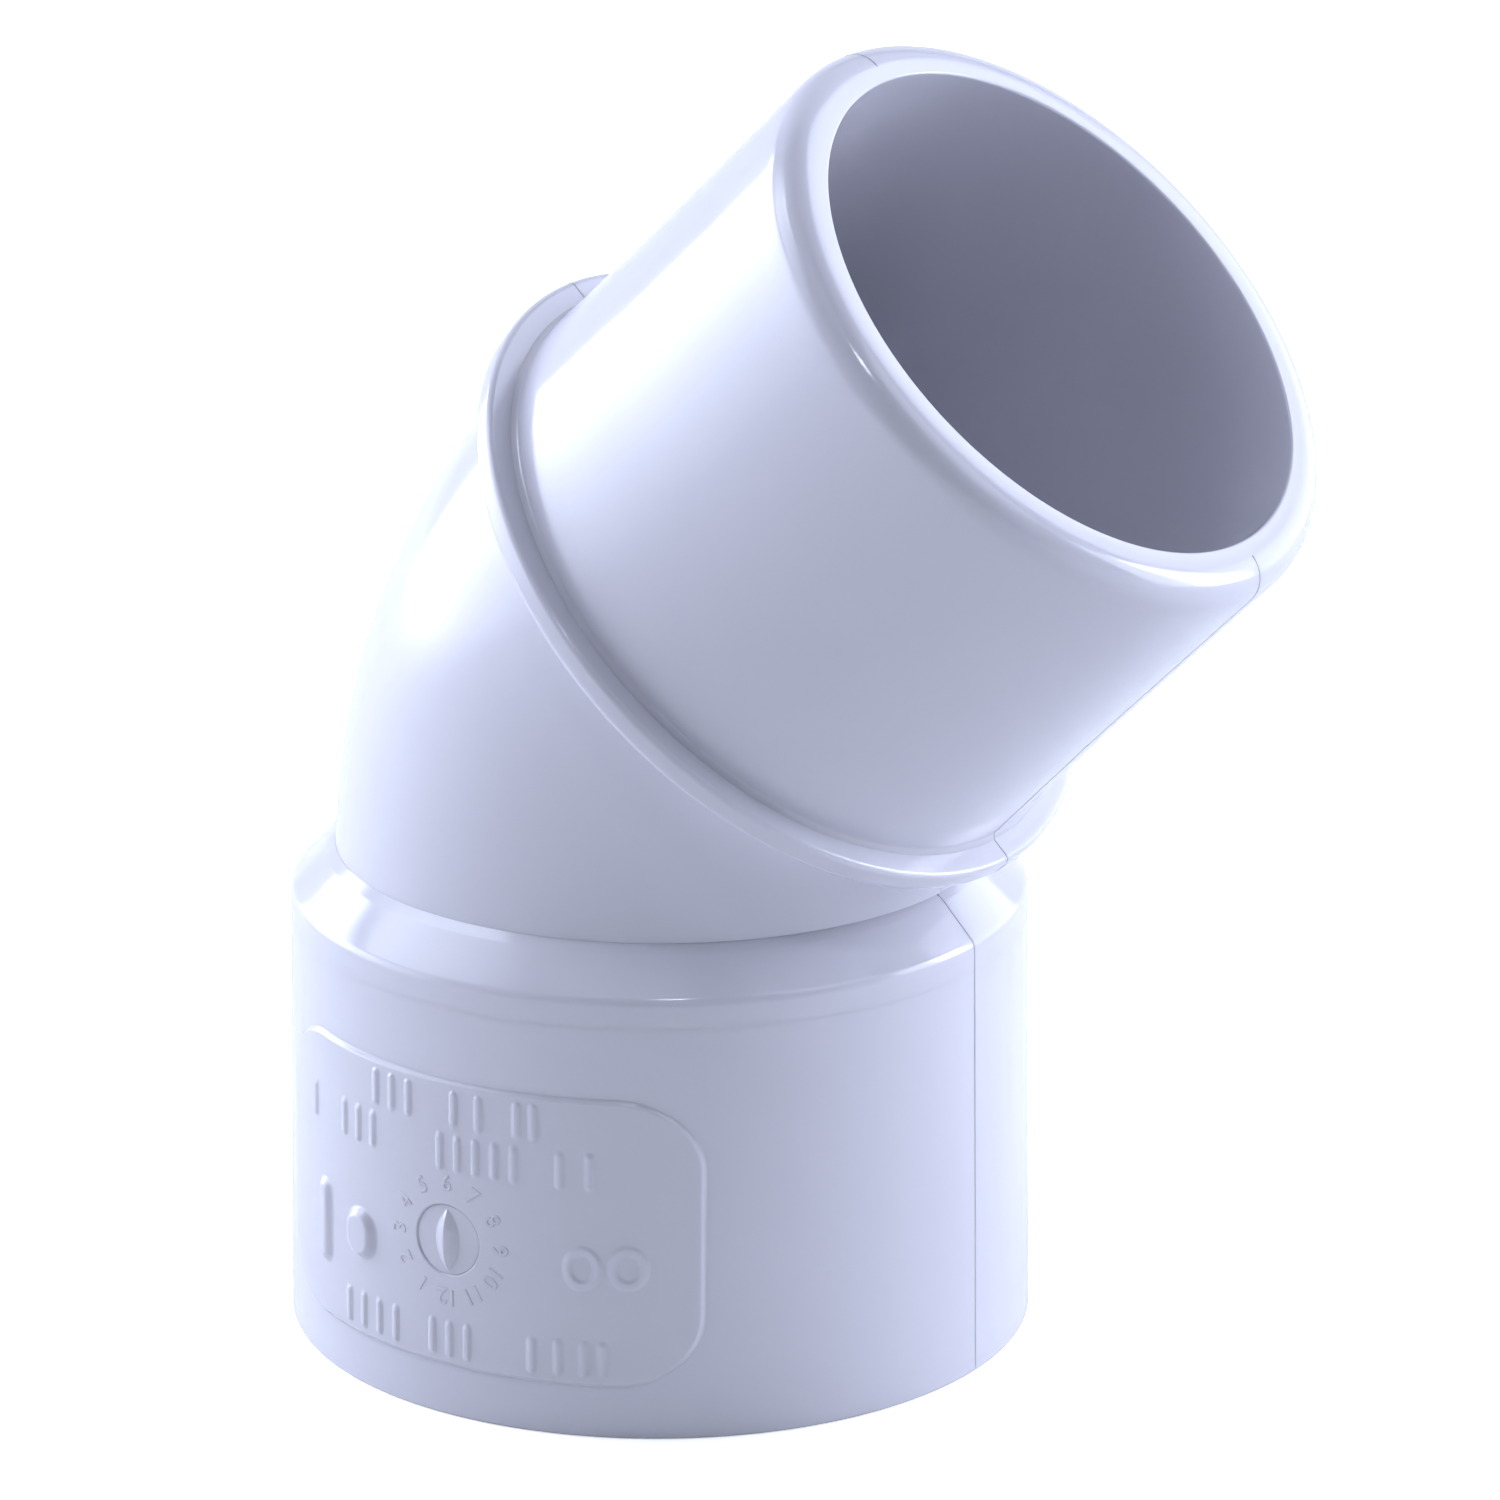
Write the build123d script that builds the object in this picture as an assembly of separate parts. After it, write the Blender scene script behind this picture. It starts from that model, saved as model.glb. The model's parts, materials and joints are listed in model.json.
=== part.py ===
from build123d import *
import os
from math import cos, radians, sin

# 45 degree elbow for 40 mm rigid PVC waste pipe, with one socket end and one spigot end.
# Millimetres. The origin is the centre of the socket's mouth, +Z runs up the socket's axis,
# and the elbow bends towards +X in the XZ plane, which is also the mould's parting plane.
# The real elbow is a single moulding. It is modelled as regions that meet face to face,
# one solid each: socket, shoulder, bend, collar, spigot, marking panel and date dial.

# Socket, which takes the end of a 40 mm pipe. Its outside tapers from the mouth to the neck.
socket_bore_diameter = 40.2
socket_depth = 26.0
socket_mouth_diameter = 46.0
socket_lead_in = 0.5

# Shoulder, whose underside is the ledge that the pipe stops against. Above the neck it is a cone.
neck_height = 27.7
neck_diameter = 45.3
shoulder_top_height = 30.5
shoulder_top_diameter = 40.0

# Passage from the ledge through the shoulder, the bend, the collar and the spigot
passage_diameter = 34.2

# Bend
bend_angle = 45.0
bend_radius = 27.0
bend_start_height = 28.5
bend_diameter = 39.8

# Places along the spigot's axis, measured from the end of the bend's arc
collar_start = 0.4
collar_end = 2.15
spigot_end = 28.85

# Collar, the rim that a mating socket's mouth comes up against
collar_diameter = 44.2
collar_rear_rounding = 0.7
collar_front_rounding = 0.4

# Spigot, which goes into a mating socket. Its root is drafted and its front stretch is straight.
spigot_diameter = 40.1
spigot_root_diameter = 40.5
spigot_draft_length = 10.0
spigot_tip_rounding = 1.9
spigot_bore_rounding = 0.15

# Marking panel, raised on the socket's -Y side and a little nearer to the outside of the bend
panel_centre = -0.5
panel_width = 30.5
panel_bottom = 3.3
panel_top = 21.6
panel_corner_radius = 4.6
panel_relief = 0.2

# The mould's date dial, a disc sunk in the panel's face with a lens-shaped pointer across it
dial_diameter = 4.6
dial_centre = -0.2
dial_height = 11.4
dial_relief = 0.1
pointer_length = 4.0
pointer_width = 1.7
pointer_relief = 0.6

bend_centre = (bend_radius, 0, bend_start_height)
bend_end = (
    bend_radius * (1 - cos(radians(bend_angle))),
    0,
    bend_start_height + bend_radius * sin(radians(bend_angle)),
)
spigot_plane = Plane(
    origin=bend_end,
    x_dir=(cos(radians(bend_angle)), 0, -sin(radians(bend_angle))),
    z_dir=(sin(radians(bend_angle)), 0, cos(radians(bend_angle))),
)


def turned(corners, roundings=()):
    """A solid of revolution about Z from (radius, height) corners, some of them rounded."""
    outline = make_face(Polyline(*corners, close=True))
    for corner, rounding in roundings:
        vertex = outline.vertices().sort_by_distance((*corner, 0))[0]
        outline = fillet(vertex, rounding)
    return revolve(Plane.XZ * outline, Axis.Z)


def upright(diameter, bottom, top):
    """A cylinder about Z between two heights."""
    return Pos(0, 0, bottom) * Cylinder(
        diameter / 2, top - bottom, align=(Align.CENTER, Align.CENTER, Align.MIN)
    )


def curved_run(diameter):
    """A solid bar along the centreline, from the socket's ledge to the collar."""
    below = upright(diameter, socket_depth, bend_start_height)
    section = Pos(0, 0, bend_start_height) * Circle(diameter / 2)
    arc = revolve(section, Axis(bend_centre, (0, 1, 0)), bend_angle)
    above = spigot_plane * upright(diameter, 0, collar_start)
    return below + arc + above


def outside_radius(height):
    """Radius of the socket's tapered outside at a height up to the neck."""
    mouth = socket_mouth_diameter / 2
    neck = neck_diameter / 2
    return mouth + (neck - mouth) * height / neck_height


def socket_skin(inner_offset, outer_offset):
    """A thin shell that follows the socket's tapered outside, between two offsets from it."""
    return turned(
        [
            (outside_radius(0) + inner_offset, 0),
            (outside_radius(0) + outer_offset, 0),
            (outside_radius(socket_depth) + outer_offset, socket_depth),
            (outside_radius(socket_depth) + inner_offset, socket_depth),
        ]
    )


def stamped(sketch, inner_offset, outer_offset):
    """The part of the socket's skin that a sketch in the XZ plane covers on the -Y side."""
    punch = extrude(Plane.XZ * sketch, socket_mouth_diameter)
    return punch & socket_skin(inner_offset, outer_offset)


def make_socket():
    bore = socket_bore_diameter / 2
    return turned(
        [
            (bore + socket_lead_in, 0),
            (outside_radius(0), 0),
            (outside_radius(socket_depth), socket_depth),
            (bore, socket_depth),
            (bore, socket_lead_in),
        ]
    )


def make_shoulder():
    cone = turned(
        [
            (0, socket_depth),
            (outside_radius(socket_depth), socket_depth),
            (neck_diameter / 2, neck_height),
            (shoulder_top_diameter / 2, shoulder_top_height),
            (0, shoulder_top_height),
        ]
    )
    return cone - curved_run(passage_diameter)


def make_bend():
    below_bend = upright(socket_mouth_diameter, 0, shoulder_top_height)
    return curved_run(bend_diameter) - curved_run(passage_diameter) - below_bend


def make_collar():
    rim = collar_diameter / 2
    passage = passage_diameter / 2
    ring = turned(
        [(passage, collar_start), (rim, collar_start), (rim, collar_end), (passage, collar_end)],
        [((rim, collar_start), collar_rear_rounding), ((rim, collar_end), collar_front_rounding)],
    )
    return spigot_plane * ring


def make_spigot():
    root = spigot_root_diameter / 2
    outside = spigot_diameter / 2
    passage = passage_diameter / 2
    tube = turned(
        [
            (passage, collar_end),
            (root, collar_end),
            (outside, collar_end + spigot_draft_length),
            (outside, spigot_end),
            (passage, spigot_end),
        ],
        [((outside, spigot_end), spigot_tip_rounding), ((passage, spigot_end), spigot_bore_rounding)],
    )
    return spigot_plane * tube


def dial_disc():
    return Pos(dial_centre, dial_height) * Circle(dial_diameter / 2)


def make_marking_panel():
    height = panel_top - panel_bottom
    face = Pos(panel_centre, panel_bottom + height / 2) * RectangleRounded(
        panel_width, height, panel_corner_radius
    )
    return stamped(face - dial_disc(), 0, panel_relief)


def make_date_dial():
    # two equal arcs over a chord of the pointer's length, each standing half its width off the chord
    lens_radius = (pointer_length**2 + pointer_width**2) / (4 * pointer_width)
    lens_offset = lens_radius - pointer_width / 2
    lens = Pos(dial_centre - lens_offset, dial_height) * Circle(lens_radius)
    lens &= Pos(dial_centre + lens_offset, dial_height) * Circle(lens_radius)
    return stamped(dial_disc(), 0, dial_relief) + stamped(lens, dial_relief, pointer_relief)


sub_parts = {
    "socket": make_socket(),
    "shoulder": make_shoulder(),
    "bend": make_bend(),
    "collar": make_collar(),
    "spigot": make_spigot(),
    "marking_panel": make_marking_panel(),
    "date_dial": make_date_dial(),
}

os.makedirs("parts", exist_ok=True)
for name, solid in sub_parts.items():
    export_step(solid, f"parts/{name}.step")
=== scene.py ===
import json
import math

import bpy
import numpy as np
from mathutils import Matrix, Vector


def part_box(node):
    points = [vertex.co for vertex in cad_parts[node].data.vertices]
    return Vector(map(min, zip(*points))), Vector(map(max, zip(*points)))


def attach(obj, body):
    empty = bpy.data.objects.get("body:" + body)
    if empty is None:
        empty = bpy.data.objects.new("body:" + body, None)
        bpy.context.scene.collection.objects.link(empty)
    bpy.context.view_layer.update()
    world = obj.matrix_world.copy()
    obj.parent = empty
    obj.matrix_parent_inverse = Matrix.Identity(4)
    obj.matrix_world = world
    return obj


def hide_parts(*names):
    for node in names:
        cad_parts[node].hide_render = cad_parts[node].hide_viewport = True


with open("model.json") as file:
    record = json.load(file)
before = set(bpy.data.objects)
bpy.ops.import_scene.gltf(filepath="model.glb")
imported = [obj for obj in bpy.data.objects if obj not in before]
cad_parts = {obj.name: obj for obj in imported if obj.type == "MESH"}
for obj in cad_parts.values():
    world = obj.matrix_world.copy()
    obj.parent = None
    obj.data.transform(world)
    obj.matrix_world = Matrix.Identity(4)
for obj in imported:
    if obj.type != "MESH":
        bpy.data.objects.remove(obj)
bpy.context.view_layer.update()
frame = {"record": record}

# Everything below is worked out in millimetres in the frame's own axes and put into metres
# when a mesh is made. The bend lies in the XZ plane and the marking panel faces -Y.
MM = 0.001
mounts = {mount["name"]: mount for mount in frame["record"]["mounts"]}


def half_width(node):
    """Radius in millimetres of a node that is round about the XZ plane."""
    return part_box(node)[1].y / MM


# Sizes that the frame holds
SOCKET_BORE = mounts["socket_bore"]["dims"]["r_mm"]
PASSAGE = mounts["spigot_bore"]["dims"]["r_mm"]
SPIGOT = mounts["spigot"]["dims"]["r_mm"]
BEND_ANGLE = math.acos(mounts["spigot"]["axis"][2])
MOUTH = half_width("socket")
SOCKET_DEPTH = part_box("socket")[1].z / MM
SHOULDER_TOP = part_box("shoulder")[1].z / MM
BEND_OUTSIDE = half_width("bend")
COLLAR = half_width("collar")
SPIGOT_ROOT = half_width("spigot")
panel_low, panel_high = (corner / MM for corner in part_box("marking_panel"))
dial_low, dial_high = (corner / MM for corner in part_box("date_dial"))

# Sizes that are the same as the CAD model's own
NECK_HEIGHT = 27.7
NECK = 22.65
SHOULDER_TOP_RADIUS = 20.0
BEND_RADIUS = 27.0
BEND_START = 28.5
COLLAR_START = 0.4
COLLAR_END = 2.15
SPIGOT_DRAFT = 10.0
SPIGOT_END = 28.85
SOCKET_LEAD_IN = 0.5
TIP_ROUNDING = 1.9
BORE_ROUNDING = 0.15
COLLAR_REAR_ROUNDING = 0.7
COLLAR_FRONT_ROUNDING = 0.4

# Roundings of the moulding's other edges, and how deep a raised form sits in what carries it
MOUTH_ROUNDING = 0.25
NECK_ROUNDING = 0.9
CONE_FILLET = 0.5
COLLAR_FILLET = 0.3
SUNK = 0.05

# Marking panel: x and z on the socket's -Y side, and heights above the socket's tapered skin
PANEL_CENTRE = (panel_low.x + panel_high.x) / 2
PANEL_WIDTH = panel_high.x - panel_low.x
PANEL_BOTTOM = panel_low.z
PANEL_TOP = panel_high.z
PANEL_CORNER = 4.6
PANEL_RELIEF = 0.2
PANEL_FLANK = 0.32

# Date dial, a disc that lies in a round recess of the panel
DIAL_X = (dial_low.x + dial_high.x) / 2
DIAL_Z = (dial_low.z + dial_high.z) / 2
DIAL_RADIUS = (dial_high.x - dial_low.x) / 2
DIAL_GAP = 0.06
DIAL_RELIEF = 0.1
DIAL_BEVEL = 0.05
RECESS_RELIEF = 0.02
RECESS_WALL = 0.1
POINTER_LENGTH = 4.0
POINTER_WIDTH = 1.7
POINTER_RELIEF = 0.6
RIDGE_ROUNDNESS = 1.4

# The dial's numbers, in a ring on the panel round the disc. Their strokes are thinned a little.
NUMERAL_RING = 3.6
NUMERAL_SIZE = 1.45
NUMERAL_RELIEF = 0.045
NUMERAL_THINNING = -0.02

# Plain raised marks on the panel, which stand where the real one has its wording.
# A row is its height, then groups of upright bars: the first bar's x, the count and the pitch.
BAR_LENGTH = 2.2
BAR_WIDTH = 0.42
MARK_RELIEF = 0.13
MARK_FLANK = 0.22
BAR_ROWS = (
    (5.05, ((9.5, 2, 1.0), (7.0, 2, 1.6), (1.2, 3, 1.25), (-4.2, 4, 1.4))),
    (17.0, ((8.8, 2, 1.7), (4.3, 5, 1.25), (-6.1, 3, 1.35), (-12.1, 1, 0))),
    (19.85, ((5.5, 2, 1.0), (2.0, 2, 1.7), (-3.1, 3, 1.35))),
)
RING_CENTRES = ((10.9, 11.0), (8.4, 10.85))
RING_SIZE = (0.85, 1.1)
TALL_BAR_CENTRE = (-10.9, 9.6)
TALL_BAR_SIZE = (1.0, 5.0)
TALL_BAR_RELIEF = 0.3
PAD_CENTRE = (-7.2, 10.0)
PAD_SIZE = (2.2, 2.8)
PAD_RELIEF = 0.45
BIG_MARK_FLANK = 0.6

# The mould's parting line, a hair-thin bead round the outside in the XZ plane. On the bend it
# stops this share of the arc short of the shoulder and of the collar, whose own bead takes over.
SEAM_HALF_WIDTH = 0.07
SEAM_HEIGHT = 0.02
SEAM_BEND_MARGIN = 0.02

# Fineness of the meshes: lengths of a step, and how many points or steps a stretch has
AROUND = 256
ARC_STEPS = 8
RUN_STEP = 1.0
BEND_POINTS = 49
SEAM_BEND_POINTS = 40
PANEL_STEP = 0.1
PANEL_CORNER_POINTS = 40
PANEL_FLANK_STEPS = 8
DIAL_STEP = 0.05
DIAL_AROUND = 180
DIAL_RINGS = 60
DIAL_MIDDLE = 0.02
NUMERAL_CURVE_STEPS = 3
NUMERAL_BEVEL_STEPS = 2

# Edges that turn by more degrees than this stay sharp
MOULDING_CREASE = 32
DIAL_CREASE = 50
NUMERAL_CREASE = 60


# ---------------------------------------------------------------- meshes

def add_mesh(name, points, faces, crease_degrees=None):
    """A smooth mesh object from points in millimetres, with its creases kept sharp."""
    data = bpy.data.meshes.new(name)
    data.from_pydata([tuple(p) for p in np.asarray(points) * MM], [], faces)
    data.validate()
    data.shade_smooth()
    piece = bpy.data.objects.new(name, data)
    bpy.context.scene.collection.objects.link(piece)
    if crease_degrees is not None:
        data.set_sharp_from_angle(angle=math.radians(crease_degrees))
    return piece


def grid_faces(rows, columns, first=0, close_rows=False, close_columns=False):
    """Quads over a grid of points that is rows long and columns wide, closed either way."""
    faces = []
    for i in range(rows if close_rows else rows - 1):
        for j in range(columns if close_columns else columns - 1):
            after_i = (i + 1) % rows
            after_j = (j + 1) % columns
            corners = ((i, j), (i, after_j), (after_i, after_j), (after_i, j))
            faces.append(tuple(first + a * columns + b for a, b in corners))
    return faces


def band_faces(inner, outer):
    """Quads between two closed rings of points, given by their numbers."""
    count = len(inner)
    return [
        (inner[k], outer[k], outer[(k + 1) % count], inner[(k + 1) % count]) for k in range(count)
    ]


def rounded(corners):
    """A closed outline through (radius, height, rounding) corners, with an arc at each rounding."""
    outline = []
    for i, (x, y, rounding) in enumerate(corners):
        here = np.array((x, y))
        if rounding == 0:
            outline.append(here)
            continue
        back = np.array(corners[i - 1][:2]) - here
        ahead = np.array(corners[(i + 1) % len(corners)][:2]) - here
        back /= np.linalg.norm(back)
        ahead /= np.linalg.norm(ahead)
        half_angle = math.acos(back @ ahead) / 2
        middle = (back + ahead) / np.linalg.norm(back + ahead)
        centre = here + middle * rounding / math.sin(half_angle)
        first = here + back * rounding / math.tan(half_angle) - centre
        last = here + ahead * rounding / math.tan(half_angle) - centre
        sweep = math.pi - 2 * half_angle
        for t in np.linspace(0, 1, ARC_STEPS + 1):
            spoke = math.sin((1 - t) * sweep) * first + math.sin(t * sweep) * last
            outline.append(centre + spoke / math.sin(sweep))
    return np.array(outline)


def divided(outline):
    """The same closed outline with its long straight runs cut up."""
    points = []
    for i, point in enumerate(outline):
        run = outline[(i + 1) % len(outline)] - point
        pieces = max(1, round(np.linalg.norm(run) / RUN_STEP))
        points += [point + run * k / pieces for k in range(pieces)]
    return np.array(points)


# ---------------------------------------------------------------- the moulding's two axes

class Place:
    """A round stretch's own axes: an origin, an axis, and the direction of its +X side."""

    def __init__(self, origin, axis, side):
        self.origin = np.array(origin, float)
        self.axis = np.array(axis, float)
        self.side = np.array(side, float)

    def point(self, radius, height, angle):
        out = self.side * math.cos(angle) + np.array((0, math.sin(angle), 0))
        return self.origin + self.axis * height + out * radius


BEND_CENTRE = np.array((BEND_RADIUS, 0, BEND_START))
ARC_END = BEND_CENTRE + BEND_RADIUS * np.array((-math.cos(BEND_ANGLE), 0, math.sin(BEND_ANGLE)))
UPRIGHT = Place((0, 0, 0), (0, 0, 1), (1, 0, 0))
LEANING = Place(
    ARC_END,
    (math.sin(BEND_ANGLE), 0, math.cos(BEND_ANGLE)),
    (math.cos(BEND_ANGLE), 0, -math.sin(BEND_ANGLE)),
)


def outside_radius(height):
    """The socket's tapered outside."""
    return MOUTH + (NECK - MOUTH) * height / NECK_HEIGHT


def bend_point(radius, share, angle):
    """A point on the bend's round wall. share runs from the shoulder's top plane to the arc's end."""
    from_centre = BEND_RADIUS - radius * math.cos(angle)
    start = math.asin((SHOULDER_TOP - BEND_START) / from_centre)
    turn = start + (BEND_ANGLE - start) * share
    return BEND_CENTRE + np.array((
        -from_centre * math.cos(turn),
        radius * math.sin(angle),
        from_centre * math.sin(turn),
    ))


# ---------------------------------------------------------------- outlines of the round regions

SOCKET_OUTLINE = rounded([
    (SOCKET_BORE, SOCKET_LEAD_IN, 0),
    (SOCKET_BORE + SOCKET_LEAD_IN, 0, 0),
    (MOUTH, 0, MOUTH_ROUNDING),
    (outside_radius(SOCKET_DEPTH), SOCKET_DEPTH, 0),
    (SOCKET_BORE, SOCKET_DEPTH, 0),
])
CONE_SLOPE = (NECK - SHOULDER_TOP_RADIUS) / (SHOULDER_TOP - NECK_HEIGHT)
SHOULDER_OUTLINE = rounded([
    (PASSAGE, SOCKET_DEPTH, 0),
    (outside_radius(SOCKET_DEPTH), SOCKET_DEPTH, 0),
    (NECK, NECK_HEIGHT, NECK_ROUNDING),
    (SHOULDER_TOP_RADIUS + CONE_SLOPE * CONE_FILLET, SHOULDER_TOP - CONE_FILLET, CONE_FILLET),
    (BEND_OUTSIDE, SHOULDER_TOP, 0),
    (PASSAGE, SHOULDER_TOP, 0),
])
COLLAR_OUTLINE = rounded([
    (PASSAGE, COLLAR_START, 0),
    (BEND_OUTSIDE, COLLAR_START - COLLAR_FILLET, 0),
    (BEND_OUTSIDE + COLLAR_FILLET / 3, COLLAR_START - COLLAR_FILLET / 3, 0),
    (BEND_OUTSIDE + COLLAR_FILLET, COLLAR_START, 0),
    (COLLAR, COLLAR_START, COLLAR_REAR_ROUNDING),
    (COLLAR, COLLAR_END, COLLAR_FRONT_ROUNDING),
    (PASSAGE, COLLAR_END, 0),
])
SPIGOT_OUTLINE = rounded([
    (PASSAGE, COLLAR_END, 0),
    (SPIGOT_ROOT + COLLAR_FILLET, COLLAR_END, 0),
    (SPIGOT_ROOT, COLLAR_END + COLLAR_FILLET, COLLAR_FILLET),
    (SPIGOT, COLLAR_END + SPIGOT_DRAFT, 0),
    (SPIGOT, SPIGOT_END, TIP_ROUNDING),
    (PASSAGE, SPIGOT_END, BORE_ROUNDING),
])


def make_turned(name, place, outline):
    """A closed ring turned about a place's axis."""
    section = divided(outline)
    angles = np.arange(AROUND) * 2 * math.pi / AROUND
    points = [place.point(r, h, a) for a in angles for r, h in section]
    faces = grid_faces(AROUND, len(section), close_rows=True, close_columns=True)
    return add_mesh(name, points, faces, MOULDING_CREASE)


def make_bend():
    """The bend's closed tube, outside from shoulder to collar and back along the passage."""
    shares = np.linspace(0, 1, BEND_POINTS)
    angles = np.arange(AROUND) * 2 * math.pi / AROUND
    rows = [[bend_point(BEND_OUTSIDE, t, a) for a in angles] for t in shares]
    rows.append([LEANING.point(BEND_OUTSIDE, COLLAR_START, a) for a in angles])
    rows.append([LEANING.point(PASSAGE, COLLAR_START, a) for a in angles])
    rows += [[bend_point(PASSAGE, t, a) for a in angles] for t in shares[::-1]]
    points = [p for row in rows for p in row]
    faces = grid_faces(len(rows), AROUND, close_rows=True, close_columns=True)
    return add_mesh("bend_tube", points, faces, MOULDING_CREASE)


def up_one_side(place, outline, wall, side_angle, lowest=0):
    """The points of a round region's outline that lie outside its wall, at one angle."""
    return [
        place.point(r, h, side_angle) for r, h in outline if r > wall + SUNK and h >= lowest
    ]


def make_parting_line(name, side_angle):
    """The bead up one side, as a thin swept strip with its foot in the wall."""
    flared_bore = SOCKET_BORE + SOCKET_LEAD_IN
    rounded_bore = PASSAGE + BORE_ROUNDING
    bend_shares = np.linspace(SEAM_BEND_MARGIN, 1 - SEAM_BEND_MARGIN, SEAM_BEND_POINTS)
    path = up_one_side(UPRIGHT, SOCKET_OUTLINE, flared_bore, side_angle, lowest=MOUTH_ROUNDING)
    path += up_one_side(UPRIGHT, SHOULDER_OUTLINE, PASSAGE, side_angle)
    path += [bend_point(BEND_OUTSIDE, t, side_angle) for t in bend_shares]
    path += up_one_side(LEANING, COLLAR_OUTLINE, PASSAGE, side_angle)
    path += up_one_side(LEANING, SPIGOT_OUTLINE, rounded_bore, side_angle)
    path = np.array(path)
    ahead = np.gradient(path, axis=0)
    ahead /= np.linalg.norm(ahead, axis=1)[:, None]
    across = np.array((0, 1, 0))
    out = -math.cos(side_angle) * np.cross(ahead, across)
    w = SEAM_HALF_WIDTH
    section = ((-w, -SUNK), (-w, 0), (-w / 2, SEAM_HEIGHT), (w / 2, SEAM_HEIGHT), (w, 0), (w, -SUNK))
    points = [p + n * height + across * y for p, n in zip(path, out) for y, height in section]
    count = len(section)
    faces = grid_faces(len(path), count, close_columns=True)
    faces.append(tuple(range(count)))
    faces.append(tuple(range(len(points) - 1, len(points) - 1 - count, -1)))
    return add_mesh(name, points, faces)


# ---------------------------------------------------------------- the marking panel

def smooth_step(value):
    """0 below 0, 1 above 1, and an S between."""
    t = np.clip(value, 0, 1)
    return t * t * (3 - 2 * t)


def raised(distance, relief, flank=MARK_FLANK):
    """Height of a soft-edged mark, from the distance outside its edge."""
    return relief * smooth_step(0.5 - distance / flank)


def bar_distance(x, z, centre, size, rounding):
    """Distance outside an upright box with rounded corners."""
    across = np.abs(x - centre[0]) - size[0] / 2 + rounding
    up = np.abs(z - centre[1]) - size[1] / 2 + rounding
    outside = np.hypot(np.maximum(across, 0), np.maximum(up, 0))
    return outside + np.minimum(np.maximum(across, up), 0) - rounding


def ring_distance(x, z, centre, size):
    """About the distance outside an oval line as wide as a bar."""
    share = np.hypot((x - centre[0]) / size[0], (z - centre[1]) / size[1])
    return np.abs(share - 1) * min(size) - BAR_WIDTH / 2


def panel_height(x, z):
    """Height of the panel's face above the socket's skin."""
    from_recess = np.hypot(x - DIAL_X, z - DIAL_Z) - DIAL_RADIUS
    height = PANEL_RELIEF - (PANEL_RELIEF - RECESS_RELIEF) * smooth_step(-from_recess / RECESS_WALL)
    for row_z, groups in BAR_ROWS:
        for first_x, count, pitch in groups:
            for k in range(count):
                centre = (first_x - k * pitch, row_z)
                bar = bar_distance(x, z, centre, (BAR_WIDTH, BAR_LENGTH), BAR_WIDTH / 2)
                height = height + raised(bar, MARK_RELIEF)
    for centre in RING_CENTRES:
        height = height + raised(ring_distance(x, z, centre, RING_SIZE), MARK_RELIEF)
    tall_bar = bar_distance(x, z, TALL_BAR_CENTRE, TALL_BAR_SIZE, TALL_BAR_SIZE[0] / 2)
    pad = bar_distance(x, z, PAD_CENTRE, PAD_SIZE, PAD_SIZE[0] / 2)
    height = height + raised(tall_bar, TALL_BAR_RELIEF, BIG_MARK_FLANK)
    return height + raised(pad, PAD_RELIEF, BIG_MARK_FLANK)


def on_skin(x, z, height):
    """The points over x and z that stand a height off the socket's skin on its -Y side."""
    radius = outside_radius(z)
    share = (radius + height) / radius
    return np.stack((x * share, -np.sqrt(radius**2 - x**2) * share, z), axis=-1).reshape(-1, 3)


def grid_lines(first, last, dial):
    """Places from first to last, closer together where they cross the dial."""
    reach = DIAL_RADIUS + PANEL_STEP
    lines = [first]
    while lines[-1] < last - 1.5 * PANEL_STEP:
        over_dial = abs(lines[-1] - dial) < reach
        lines.append(lines[-1] + (DIAL_STEP if over_dial else PANEL_STEP))
    return np.array(lines + [last])


def panel_grid():
    """x and z over the panel's face inside its flank, in rows across the rounded outline."""
    half = PANEL_WIDTH / 2 - PANEL_FLANK
    corner = PANEL_CORNER - PANEL_FLANK
    low = PANEL_BOTTOM + PANEL_CORNER
    high = PANEL_TOP - PANEL_CORNER
    turns = np.linspace(0, math.pi / 2, PANEL_CORNER_POINTS)
    straight = grid_lines(low, high, DIAL_Z)[1:-1]
    row_z = np.concatenate((low - corner * np.cos(turns), straight, high + corner * np.sin(turns)))
    row_half = half - corner + corner * np.concatenate(
        (np.sin(turns), np.ones(len(straight)), np.cos(turns))
    )
    columns = grid_lines(PANEL_CENTRE - half, PANEL_CENTRE + half, DIAL_X) - PANEL_CENTRE
    x = PANEL_CENTRE + row_half[:, None] * columns[None, :] / half
    z = np.repeat(row_z[:, None], len(columns), axis=1)
    return x, z


def grid_rim(rows, across):
    """The numbers of a grid's border points, once round."""
    rim = list(range(across))
    rim += [i * across + across - 1 for i in range(1, rows)]
    rim += [(rows - 1) * across + j for j in range(across - 2, -1, -1)]
    rim += [i * across for i in range(rows - 2, 0, -1)]
    return rim


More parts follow.
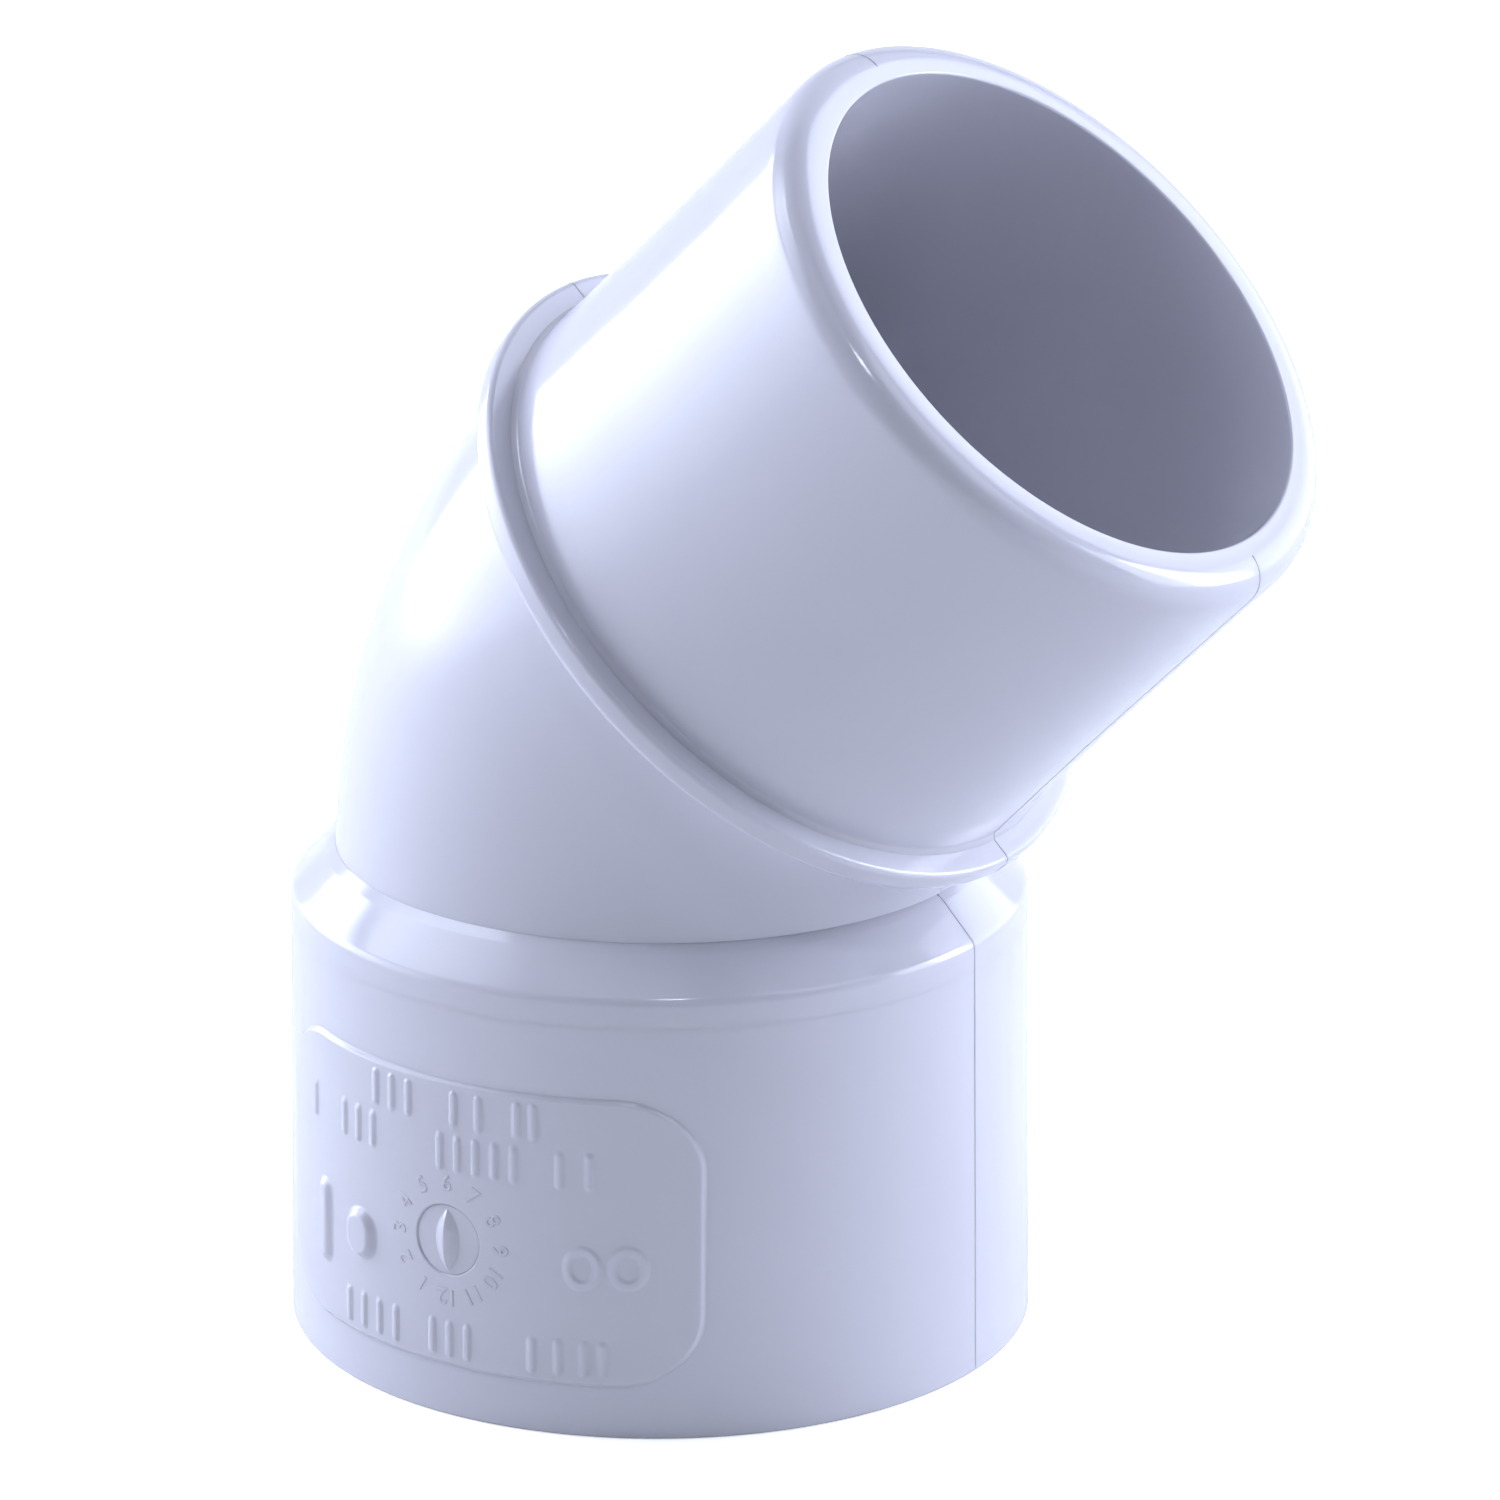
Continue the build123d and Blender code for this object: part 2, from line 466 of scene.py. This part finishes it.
def make_panel():
    """A closed slab on the socket's skin, whose soft flank runs round the face's border."""
    x, z = panel_grid()
    rows, across = z.shape
    points = [on_skin(x, z, panel_height(x, z)), on_skin(x, z, -SUNK)]
    faces = grid_faces(rows, across)
    faces += [face[::-1] for face in grid_faces(rows, across, first=z.size)]

    rim = grid_rim(rows, across)
    rim_x = x.ravel()[rim]
    rim_z = z.ravel()[rim]
    straight_half = PANEL_WIDTH / 2 - PANEL_CORNER
    low = PANEL_BOTTOM + PANEL_CORNER
    high = PANEL_TOP - PANEL_CORNER
    out_x = rim_x - np.clip(rim_x, PANEL_CENTRE - straight_half, PANEL_CENTRE + straight_half)
    out_z = rim_z - np.clip(rim_z, low, high)
    shares = np.linspace(0, 1, PANEL_FLANK_STEPS + 1)[1:]
    profile = [(t, PANEL_RELIEF * (1 - smooth_step(t))) for t in shares]
    inner = rim
    for k, (share, height) in enumerate(profile + [(1, -SUNK)]):
        reach = PANEL_FLANK * share / (PANEL_CORNER - PANEL_FLANK)
        points.append(on_skin(rim_x + out_x * reach, rim_z + out_z * reach, height))
        first = 2 * z.size + k * len(rim)
        outer = list(range(first, first + len(rim)))
        faces += band_faces(inner, outer)
        inner = outer
    faces += band_faces(inner, [z.size + k for k in rim])
    return add_mesh("marking_panel_face", np.concatenate(points), faces)


def pointer_height(x, z):
    """The pointer's ridge over two equal arcs that meet at its tips, above the disc."""
    radius = (POINTER_LENGTH**2 + POINTER_WIDTH**2) / (4 * POINTER_WIDTH)
    offset = radius - POINTER_WIDTH / 2
    inside = radius - np.hypot(np.abs(x - DIAL_X) + offset, z - DIAL_Z)
    share = np.clip(2 * inside / POINTER_WIDTH, 0, 1)
    return (POINTER_RELIEF - DIAL_RELIEF) * (1 - (1 - share) ** RIDGE_ROUNDNESS)


def make_dial():
    """The closed disc with the pointer across it, as rings from its middle to its edge and back."""
    edge = DIAL_RADIUS - DIAL_GAP
    rings = [(r, DIAL_RELIEF) for r in np.linspace(DIAL_MIDDLE, edge - DIAL_BEVEL, DIAL_RINGS)]
    rings += [(edge, DIAL_RELIEF - DIAL_BEVEL), (edge, -SUNK)]
    angles = np.arange(DIAL_AROUND) * 2 * math.pi / DIAL_AROUND
    points = []
    for radius, height in rings:
        x = DIAL_X + radius * np.cos(angles)
        z = DIAL_Z + radius * np.sin(angles)
        points.append(on_skin(x, z, height + pointer_height(x, z)))
    faces = [face[::-1] for face in grid_faces(len(rings), DIAL_AROUND, close_columns=True)]
    last = DIAL_AROUND * len(rings)
    faces.append(tuple(range(DIAL_AROUND)))
    faces.append(tuple(range(last - 1, last - 1 - DIAL_AROUND, -1)))
    return add_mesh("date_dial_face", np.concatenate(points), faces, DIAL_CREASE)


def make_numeral(number):
    """One of the dial's numbers, its top away from the middle, wrapped on the panel."""
    text = bpy.data.curves.new(f"numeral_{number}", "FONT")
    text.body = str(number)
    text.size = NUMERAL_SIZE
    text.align_x = "CENTER"
    text.align_y = "CENTER"
    text.bevel_depth = NUMERAL_RELIEF
    text.bevel_resolution = NUMERAL_BEVEL_STEPS
    text.offset = NUMERAL_THINNING
    text.resolution_u = NUMERAL_CURVE_STEPS
    source = bpy.data.objects.new(text.name, text)
    bpy.context.scene.collection.objects.link(source)
    bpy.context.view_layer.update()
    data = bpy.data.meshes.new_from_object(source)
    bpy.data.objects.remove(source)
    clockwise = math.radians(30 * number + 180)
    for vertex in data.vertices:
        right, up, height = vertex.co
        up += NUMERAL_RING
        x = DIAL_X + right * math.cos(clockwise) + up * math.sin(clockwise)
        z = DIAL_Z - right * math.sin(clockwise) + up * math.cos(clockwise)
        vertex.co = on_skin(x, z, PANEL_RELIEF + height)[0] * MM
    data.shade_smooth()
    data.set_sharp_from_angle(angle=math.radians(NUMERAL_CREASE))
    return data


def make_numerals():
    """The twelve numbers. The dial is stamped upside down, so 12 is at the bottom."""
    pieces = []
    for number in range(1, 13):
        piece = bpy.data.objects.new(f"dial_numeral_{number}", make_numeral(number))
        bpy.context.scene.collection.objects.link(piece)
        pieces.append(piece)
    return pieces


# ---------------------------------------------------------------- materials

# Scales of the plastic's three unevennesses, which are noise over the frame's metres
FLOW_CLOUDS = 55.0
GLOSS_PATCHES = 240.0
ORANGE_PEEL = 900.0
ORANGE_PEEL_DEPTH = 0.00002
ORANGE_PEEL_STRENGTH = 0.25
ROUGHNESS_SPREAD = 0.06
NOISE_RANGE = (0.3, 0.7)

# Rigid PVC bends light like this, and lets a little of it in to about a millimetre
PVC_IOR = 1.53
GLOW_THROUGH = 0.2
GLOW_DEPTH = 0.001


def add_noise(material, scale, detail):
    """A noise texture laid out in the frame's own metres."""
    nodes = material.node_tree.nodes
    place = nodes.new("ShaderNodeTexCoord")
    noise = nodes.new("ShaderNodeTexNoise")
    noise.inputs["Scale"].default_value = scale
    noise.inputs["Detail"].default_value = detail
    material.node_tree.links.new(place.outputs["Object"], noise.inputs["Vector"])
    return noise.outputs["Fac"]


def add_ramp(material, value, first, last):
    """A colour between two, by a value within the range where noise mostly lies."""
    ramp = material.node_tree.nodes.new("ShaderNodeValToRGB")
    for element, place, colour in zip(ramp.color_ramp.elements, NOISE_RANGE, (first, last)):
        element.position = place
        element.color = (*colour, 1)
    material.node_tree.links.new(value, ramp.inputs["Fac"])
    return ramp.outputs["Color"]


def rigid_pvc(name, darker, lighter, roughness):
    """Glossy moulded PVC: faint flow clouds, uneven gloss and the finest orange peel."""
    material = bpy.data.materials.new(name)
    material.use_nodes = True
    nodes = material.node_tree.nodes
    links = material.node_tree.links
    shader = nodes["Principled BSDF"]
    shader.inputs["IOR"].default_value = PVC_IOR
    shader.inputs["Subsurface Weight"].default_value = GLOW_THROUGH
    shader.inputs["Subsurface Radius"].default_value = (1.0, 1.0, 1.0)
    shader.inputs["Subsurface Scale"].default_value = GLOW_DEPTH
    clouds = add_noise(material, FLOW_CLOUDS, detail=3.0)
    links.new(add_ramp(material, clouds, darker, lighter), shader.inputs["Base Color"])
    patches = add_noise(material, GLOSS_PATCHES, detail=4.0)
    glossier = (roughness,) * 3
    duller = (roughness + ROUGHNESS_SPREAD,) * 3
    links.new(add_ramp(material, patches, glossier, duller), shader.inputs["Roughness"])
    bump = nodes.new("ShaderNodeBump")
    bump.inputs["Strength"].default_value = ORANGE_PEEL_STRENGTH
    bump.inputs["Distance"].default_value = ORANGE_PEEL_DEPTH
    links.new(add_noise(material, ORANGE_PEEL, detail=2.0), bump.inputs["Height"])
    links.new(bump.outputs["Normal"], shader.inputs["Normal"])
    return material


pvc = rigid_pvc("rigid_pvc", (0.65, 0.64, 0.70), (0.67, 0.66, 0.72), 0.11)
# The parting line's bead is darker grey than the rest. This is partly painted shade of its tiny step
# and partly dirt caught in it.
seam_shade_and_dirt_pvc = rigid_pvc("rigid_pvc_seam", (0.42, 0.42, 0.46), (0.50, 0.50, 0.54), 0.4)


# ---------------------------------------------------------------- putting it together

def keep(piece, *nodes, material=pvc):
    """Dress a piece, let it ride the moulding, and hide the CAD nodes that it replaces."""
    piece.data.materials.append(material)
    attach(piece, "root")
    if nodes:
        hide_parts(*nodes)


keep(make_turned("socket_body", UPRIGHT, SOCKET_OUTLINE), "socket")
keep(make_turned("shoulder_cone", UPRIGHT, SHOULDER_OUTLINE), "shoulder")
keep(make_bend(), "bend")
keep(make_turned("collar_ring", LEANING, COLLAR_OUTLINE), "collar")
keep(make_turned("spigot_tube", LEANING, SPIGOT_OUTLINE), "spigot")
keep(make_panel(), "marking_panel")
keep(make_dial(), "date_dial")
for numeral in make_numerals():
    keep(numeral)
keep(make_parting_line("parting_line_inside", 0), material=seam_shade_and_dirt_pvc)
keep(make_parting_line("parting_line_outside", math.pi), material=seam_shade_and_dirt_pvc)


# ---------------------------------------------------------------- stage

CAMERA_PLACE = Vector((260.887, -397.437, 193.645)) * MM
CAMERA_AHEAD = Vector((-0.5115, 0.7995, -0.3149))
CAMERA_LENS = 196.42
CAMERA_SENSOR = 36.0
CAMERA_NEAREST = 0.01

FLOOR_REACH = 3.0
FLOOR_COLOUR = (0.9, 0.9, 0.9, 1)
FLOOR_ROUGHNESS = 0.8
FLOOR_GLOW = 0.5
WHITE = (1, 1, 1, 1)

# The lights stand round the fitting's middle, at one distance in metres
LIGHT_CENTRE = Vector((5.0, 0.0, 36.0)) * MM
LIGHT_DISTANCE = 1.0
LIGHT_COLOUR = (0.98, 1.06, 1.28)

# Soft boxes: azimuth from +X towards +Y, elevation, width and height in degrees, and brightness.
# Only the lamp is on the camera's side, so the fitting is darkest where it faces the camera. The
# lamp is small and high, and puts the glint on the spigot's rounded tip.
SOFT_BOXES = {
    "right": (44, 8, 16, 36, 10.4),
    "right_front": (28, 8, 16, 36, 4.0),
    "right_back": (70, 8, 30, 36, 2.8),
    "right_high": (5, 45, 30, 30, 1.5),
    "right_back_high": (64, 40, 24, 26, 2.2),
    "back": (123.5, 8, 77, 36, 0.75),
    "back_high": (112, 45, 72, 30, 0.7),
    "top": (-120, 72, 50, 26, 0.6),
    "lamp": (-52, 53, 7, 5, 24.0),
}

# The big light on the left is two rows of strips, a low wall and a canopy over it. The wall starts
# at a clear edge behind the fitting, and both fade out towards the camera: first and last azimuth,
# elevation, height, brightness, and the shares of the row over which it rises and falls
STRIP_WIDTH = 7
STRIP_ROWS = {
    "left_wall": (165.5, 235.5, 8, 36, 6.1, 0, 0.85),
    "left_canopy": (172.5, 242.5, 45, 30, 3.8, 0.35, 0.9),
}
FADE_END = 0.05


def seen_by_camera(tree):
    """1 for what the camera sees directly and 0 for what lights the object."""
    return tree.nodes.new("ShaderNodeLightPath").outputs["Is Camera Ray"]


def make_floor():
    """A pale floor, which looks lit as brightly as the background behind it."""
    data = bpy.data.meshes.new("floor")
    corners = [(x * FLOOR_REACH, y * FLOOR_REACH, 0) for x, y in ((-1, -1), (1, -1), (1, 1), (-1, 1))]
    data.from_pydata(corners, [], [(0, 1, 2, 3)])
    floor = bpy.data.objects.new("floor", data)
    bpy.context.scene.collection.objects.link(floor)
    material = bpy.data.materials.new("floor_white")
    material.use_nodes = True
    tree = material.node_tree
    shader = tree.nodes["Principled BSDF"]
    shader.inputs["Base Color"].default_value = FLOOR_COLOUR
    shader.inputs["Roughness"].default_value = FLOOR_ROUGHNESS
    shader.inputs["Emission Color"].default_value = WHITE
    glow = tree.nodes.new("ShaderNodeMath")
    glow.operation = "MULTIPLY"
    glow.inputs[1].default_value = FLOOR_GLOW
    tree.links.new(seen_by_camera(tree), glow.inputs[0])
    tree.links.new(glow.outputs["Value"], shader.inputs["Emission Strength"])
    floor.data.materials.append(material)


def make_camera():
    camera = bpy.data.objects.new("camera", bpy.data.cameras.new("camera"))
    camera.data.lens = CAMERA_LENS
    camera.data.sensor_width = CAMERA_SENSOR
    camera.data.clip_start = CAMERA_NEAREST
    camera.location = CAMERA_PLACE
    camera.rotation_euler = CAMERA_AHEAD.to_track_quat("-Z", "Y").to_euler()
    bpy.context.scene.collection.objects.link(camera)
    bpy.context.scene.camera = camera


def make_soft_box(name, azimuth, elevation, width, height, brightness):
    """An area light that faces the fitting, and that the camera doesn't see."""
    light = bpy.data.lights.new(name, "AREA")
    light.shape = "RECTANGLE"
    light.size = 2 * LIGHT_DISTANCE * math.tan(math.radians(width / 2))
    light.size_y = 2 * LIGHT_DISTANCE * math.tan(math.radians(height / 2))
    light.color = LIGHT_COLOUR
    light.energy = brightness * math.pi * light.size * light.size_y
    box = bpy.data.objects.new(name, light)
    box.visible_camera = False
    away = Vector((
        math.cos(math.radians(azimuth)) * math.cos(math.radians(elevation)),
        math.sin(math.radians(azimuth)) * math.cos(math.radians(elevation)),
        math.sin(math.radians(elevation)),
    ))
    box.location = LIGHT_CENTRE + away * LIGHT_DISTANCE
    box.rotation_euler = (-away).to_track_quat("-Z", "Y").to_euler()
    bpy.context.scene.collection.objects.link(box)


def make_strips(name, first, last, elevation, height, brightness, rise, fall):
    """A row of upright strips, side by side, that fades towards its ends."""
    count = round((last - first) / STRIP_WIDTH) + 1
    for k in range(count):
        along = k / (count - 1)
        rising = min(1, (along + FADE_END) / rise) if rise else 1
        falling = min(1, (1 + FADE_END - along) / fall)
        azimuth = first + k * STRIP_WIDTH
        strength = brightness * rising * falling
        make_soft_box(f"{name}_{k}", azimuth, elevation, STRIP_WIDTH, height, strength)


def make_world():
    """White behind the object, and no light of its own."""
    world = bpy.data.worlds.new("studio")
    world.use_nodes = True
    bpy.context.scene.world = world
    tree = world.node_tree
    background = tree.nodes["Background"]
    background.inputs["Color"].default_value = WHITE
    tree.links.new(seen_by_camera(tree), background.inputs["Strength"])
    bpy.context.scene.view_settings.view_transform = "Standard"


make_floor()
make_camera()
make_world()
for name, settings in SOFT_BOXES.items():
    make_soft_box(name, *settings)
for name, settings in STRIP_ROWS.items():
    make_strips(name, *settings)
